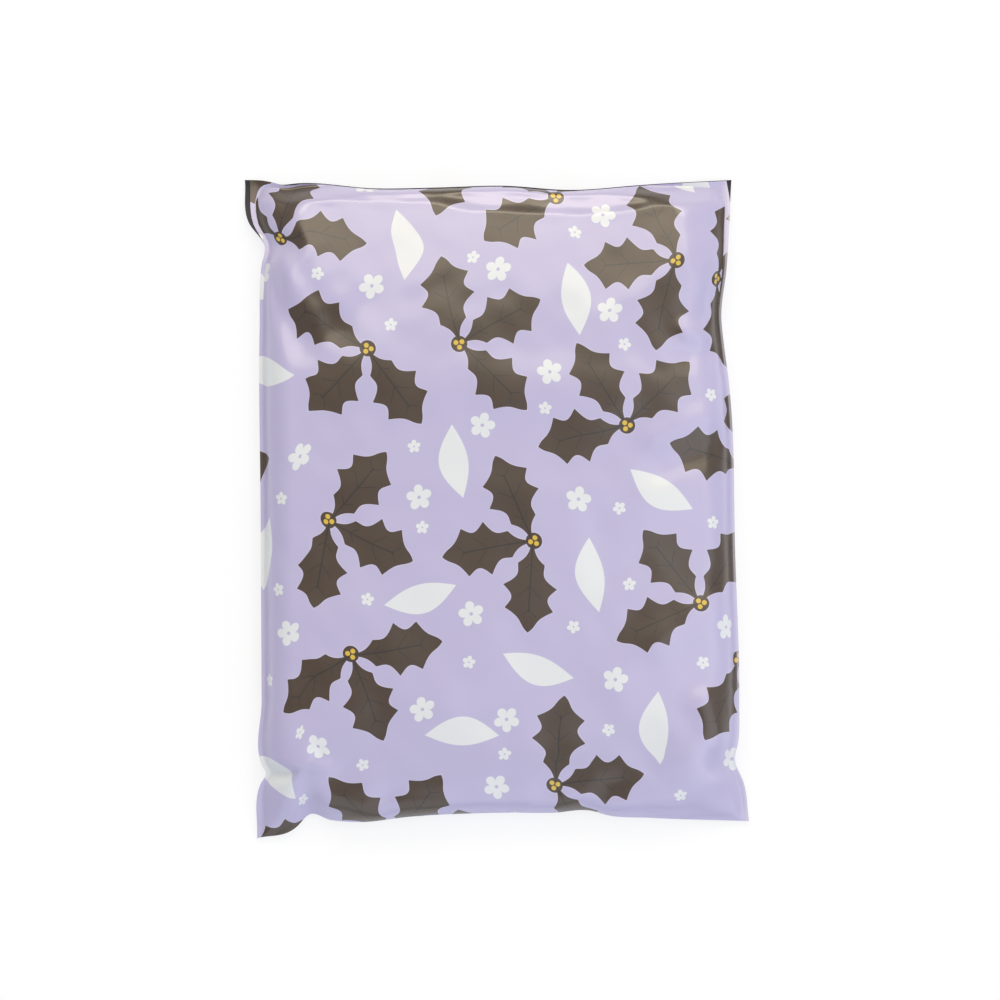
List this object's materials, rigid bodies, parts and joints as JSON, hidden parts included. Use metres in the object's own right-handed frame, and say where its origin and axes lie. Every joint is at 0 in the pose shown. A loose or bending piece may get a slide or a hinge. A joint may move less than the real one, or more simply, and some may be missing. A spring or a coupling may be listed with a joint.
{
  "type": "poly mailer bag",
  "caption": "Filled and sealed poly mailer bag lying on its back, with flat ears at its corners, welded side seals, and a flap folded over and glued down behind",
  "frame": {"origin": "under the middle of the bag's bounding box, on the surface it lies on", "axes": "X runs across the bag to the reader's right, Y runs up the front towards the folded-over flap, Z points out of the printed front"},
  "size_m": [0.261, 0.341, 0.0251],
  "materials": {
    "printed_film": "satin-glossy lilac polyethylene film, printed outside"
  },
  "bodies": {
    "root": {"mailer_bag": "printed_film"}
  },
  "joints": []
}
